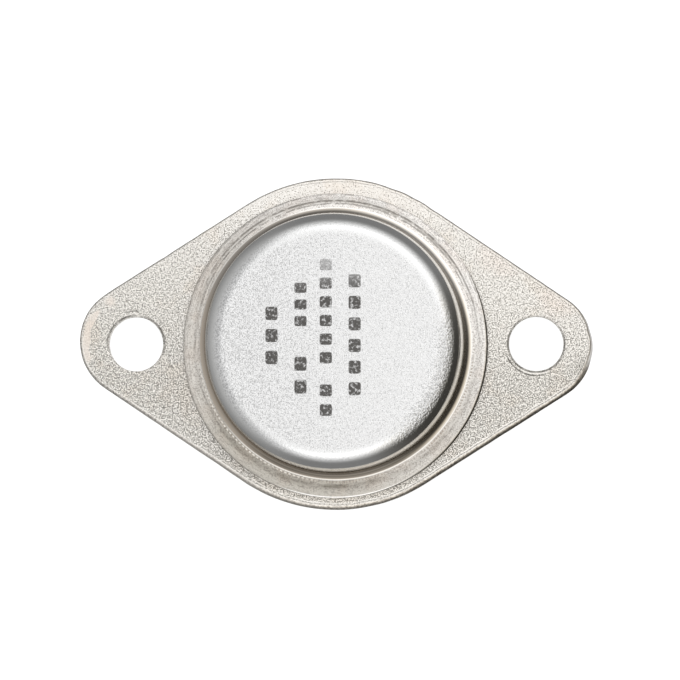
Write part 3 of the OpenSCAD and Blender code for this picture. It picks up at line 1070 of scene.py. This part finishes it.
copper = plain_metal("copper_slab", (0.62, 0.30, 0.18), (0.86, 0.50, 0.34), 0.25, 2.0)
solder = plain_metal("soft_solder", (0.42, 0.42, 0.44), (0.62, 0.62, 0.64), 0.3, 2.5)
wire = plain_metal("aluminium_wire", (0.74, 0.74, 0.76), (0.88, 0.88, 0.89), 0.15, 6.0)
repaint(seal_glass(), "base_glass_seal", "emitter_glass_seal")
repaint(copper, "heat_spreader")
repaint(solder, "spreader_solder", "chip_solder")
repaint(silicon(), "silicon_chip")
repaint(wire, "base_bond_wire", "emitter_bond_wire_1", "emitter_bond_wire_2")


# ---- studio ----

TENT_R = 0.6
FLOOR_HALF = 3.0


def tent_light(direction):
    """Colour of the light from a direction: a dark card stands on the right, a grey one on
    the left, and the rest is white down to about half height."""
    x, y, z = direction
    height = math.degrees(math.asin(max(-1.0, min(1.0, z))))
    turn = math.atan2(y, x)
    card_turn = turn + math.radians(20)
    dark_card = smooth(math.cos(card_turn), 0.5, 0.97)
    grey_card = smooth(-math.cos(turn), 0.2, 0.75)
    boxes = (0.38 - 0.08 * math.sin(turn)) * math.sin(card_turn) ** 2
    white = 0.22 + 0.88 * smooth(height, 4, 62) + boxes * math.exp(-((height - 68) / 14) ** 2)
    dark = 0.05 + 1.05 * smooth(height, 24, 80)
    grey = 0.41 + 0.28 * smooth(height, -20, 80) + 0.40 * smooth(height, 72, 90)
    grey -= 0.12 * math.sin(turn) ** 2 * (1 - smooth(height, 50, 85))
    level = white + (dark - white) * dark_card + (grey - white) * grey_card
    warm = dark_card * (1 - smooth(height, 55, 85))
    return (level, level * (1 - 0.05 * warm), level * (1 - 0.15 * warm), 1.0)


def make_tent():
    """Light cards round the part and on the table, seen only in reflections."""
    heights = np.radians(np.linspace(0, 90, 91))[:-1]
    outline, normals = plate_outline()
    turns = np.arctan2(outline[:, 1], outline[:, 0])
    shell = Shell()
    near = outline + normals * 0.3 * MM
    table = LEAD_END + 0.1 * MM
    rows = [shell.row((x, y, table) for x, y in near)]
    rows += [shell.row((TENT_R * math.cos(h) * math.cos(a), TENT_R * math.cos(h) * math.sin(a),
                        TENT_R * math.sin(h)) for a in turns) for h in heights]
    shell.bands(rows)
    shell.cone(rows[-1], shell.row([(0, 0, TENT_R)])[0])
    tent = shell.piece("light_tent", 180)
    colours = tent.data.color_attributes.new("light", "FLOAT_COLOR", "POINT")
    for vertex, colour in zip(tent.data.vertices, colours.data):
        colour.color = tent_light(vertex.co.normalized())
    paint = Paint("tent_cloth")
    light = paint.node("Attribute", attribute_name="light").outputs["Color"]
    glow = paint.node("Emission", {"Color": light})
    paint.tree.links.new(glow.outputs[0], paint.output.inputs["Surface"])
    paint.material.cycles.emission_sampling = "NONE"
    tent.data.materials.append(paint.material)
    for rays in ("camera", "diffuse", "transmission", "shadow"):
        setattr(tent, "visible_" + rays, False)


def make_floor():
    """A pale floor under the leads. It takes the part's shadow, and from below it's clear."""
    shell = Shell()
    row = shell.row((x * FLOOR_HALF, y * FLOOR_HALF, LEAD_END)
                    for x, y in ((-1, -1), (1, -1), (1, 1), (-1, 1)))
    shell.faces.append(tuple(row))
    floor = shell.piece("floor")
    paint = Paint("floor_paper", Roughness=0.9, Base_Color=(0.85, 0.85, 0.85, 1))
    rays = paint.node("LightPath").outputs
    seen = paint.math("MAXIMUM", rays["Is Camera Ray"], rays["Is Glossy Ray"])
    seen = paint.math("MAXIMUM", seen, rays["Is Transmission Ray"])
    glow = paint.node("Emission", {"Strength": paint.math("MULTIPLY", seen, 0.6)})
    lit = paint.node("AddShader", {0: paint.shader.outputs[0], 1: glow.outputs[0]})
    clear = paint.node("BsdfTransparent")
    below = paint.node("NewGeometry").outputs["Backfacing"]
    both = paint.node("MixShader", {0: below, 1: lit.outputs[0], 2: clear.outputs[0]})
    paint.tree.links.new(both.outputs[0], paint.output.inputs["Surface"])
    floor.data.materials.append(paint.material)


def make_world():
    """White to the camera and in reflections, softer as a light on rough surfaces."""
    world = bpy.data.worlds.new("studio")
    bpy.context.scene.world = world
    world.use_nodes = True
    tree = world.node_tree
    rays = tree.nodes.new("ShaderNodeLightPath")
    level = tree.nodes.new("ShaderNodeMapRange")
    level.inputs["To Min"].default_value = 1.0
    level.inputs["To Max"].default_value = 0.6
    tree.links.new(rays.outputs["Is Diffuse Ray"], level.inputs["Value"])
    background = tree.nodes["Background"]
    background.inputs["Color"].default_value = (1, 1, 1, 1)
    tree.links.new(level.outputs["Result"], background.inputs["Strength"])


def make_lamp():
    """A large soft lamp overhead, which the floor's shadow comes from."""
    lamp = bpy.data.lights.new("soft_box", "AREA")
    lamp.shape = "DISK"
    lamp.size = 0.35
    lamp.energy = 1.6
    holder = add_object("soft_box", lamp)
    holder.location = (-0.02, 0.04, 0.8)
    holder.rotation_euler = (-holder.location).to_track_quat("-Z", "Y").to_euler()
    holder.visible_camera = False
    holder.visible_glossy = False


def make_camera():
    """Looks down on the can with a long lens, tilted a little toward the right and front."""
    azimuth = math.radians(47)
    elevation = math.radians(87.7)
    distance = 0.45
    field = 51.2 * MM
    target = Vector((0.31 * MM, 0.30 * MM, PLATE_T))
    back = Vector((math.sin(azimuth) * math.cos(elevation),
                   -math.cos(azimuth) * math.cos(elevation), math.sin(elevation)))
    roll = Matrix.Rotation(math.radians(-0.06), 3, "Z")
    right = (roll @ Vector((1, 0, 0))).cross(back).cross(back) * -1
    right.normalize()
    up = back.cross(right)
    data = bpy.data.cameras.new("camera")
    data.lens = data.sensor_width * distance / field
    data.clip_start = 0.01
    camera = add_object("camera", data)
    camera.rotation_mode = "QUATERNION"
    camera.location = target + back * distance
    camera.rotation_quaternion = Matrix((right, up, back)).transposed().to_quaternion()
    bpy.context.scene.camera = camera


make_tent()
make_floor()
make_world()
make_lamp()
make_camera()
bpy.context.scene.view_settings.view_transform = "Standard"
